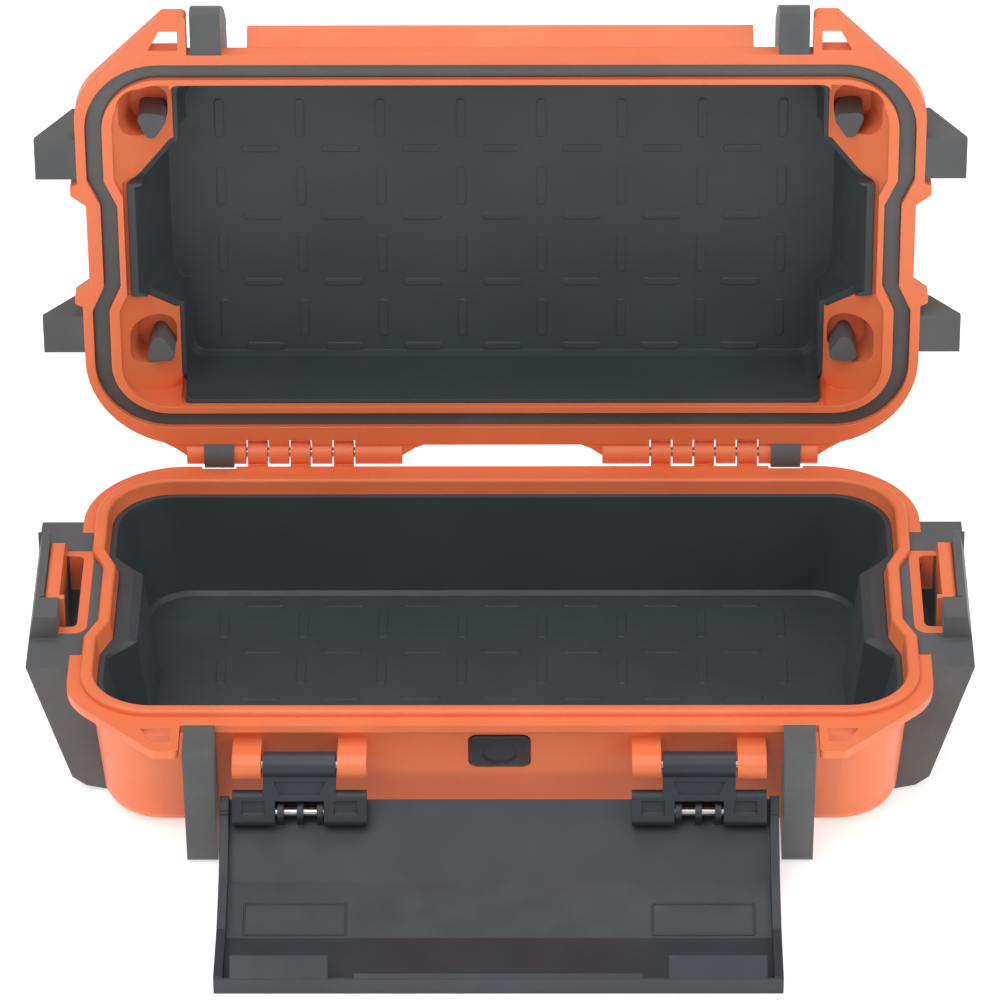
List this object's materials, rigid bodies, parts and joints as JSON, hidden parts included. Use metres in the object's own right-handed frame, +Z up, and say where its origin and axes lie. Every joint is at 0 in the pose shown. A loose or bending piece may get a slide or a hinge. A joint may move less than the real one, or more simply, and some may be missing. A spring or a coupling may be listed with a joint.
{
  "type": "camera case",
  "caption": "Hard-shell camera case with a hinged lid, a fold-down latch cover, a sealing gasket, soft liners and rubber guards, standing open.",
  "frame": {"origin": "centre of the open case's outline, on the surface it stands on", "axes": "+X to the right along the length, +Y to the back where the hinges are, +Z up"},
  "size_m": [0.2748, 0.2398, 0.1997],
  "materials": {
    "orange_shell": "satin moulded ABS, fine texture",
    "dark_liner": "satin soft-touch liner",
    "dark_latch": "satin moulded nylon",
    "rubber_guard": "matt overmoulded rubber",
    "gasket_rubber": "smooth silicone",
    "steel_pin": "plain stainless rod",
    "vent_membrane": "felted membrane"
  },
  "bodies": {
    "base": {"base_shell": "orange_shell", "base_liner": "dark_liner", "base_rail_left": "rubber_guard", "side_guard_left": "rubber_guard", "hinge_pin_left": "steel_pin", "latch_ear_pin_left": "steel_pin", "base_rail_right": "rubber_guard", "side_guard_right": "rubber_guard", "hinge_pin_right": "steel_pin", "latch_ear_pin_right": "steel_pin", "vent_cap": "dark_latch", "vent_membrane": "vent_membrane", "vent_seal": "gasket_rubber"},
    "lid": {"lid_shell": "orange_shell", "lid_liner": "dark_liner", "lid_gasket": "gasket_rubber", "lid_rail_left": "rubber_guard", "lid_bumper_front_left": "rubber_guard", "lid_bumper_rear_left": "rubber_guard", "lid_post_front_left": "rubber_guard", "lid_post_rear_left": "rubber_guard", "lid_rail_right": "rubber_guard", "lid_bumper_front_right": "rubber_guard", "lid_bumper_rear_right": "rubber_guard", "lid_post_front_right": "rubber_guard", "lid_post_rear_right": "rubber_guard"},
    "latch_links": {"latch_link_left": "dark_latch", "cover_pin_left": "steel_pin", "latch_link_right": "dark_latch", "cover_pin_right": "steel_pin"},
    "latch_cover": {"latch_cover": "dark_latch"}
  },
  "joints": [
    {"name": "lid_hinge", "type": "hinge", "parent": "base", "child": "lid", "pos_m": [0, 0.08755, 0.0466], "axis": [1, 0, 0], "range_deg": [0, 90]},
    {"name": "link_swing", "type": "hinge", "parent": "base", "child": "latch_links", "pos_m": [0, -0.0581, 0.0346], "axis": [1, 0, 0], "range_deg": [-4, 28]},
    {"name": "cover_swing", "type": "hinge", "parent": "latch_links", "child": "latch_cover", "pos_m": [0, -0.0644, 0.0227], "axis": [-1, 0, 0], "range_deg": [-20, 154.9]}
  ],
  "couplings": [
    {"joint": "link_swing", "follows": "cover_swing", "ratio": 0.18012}
  ]
}
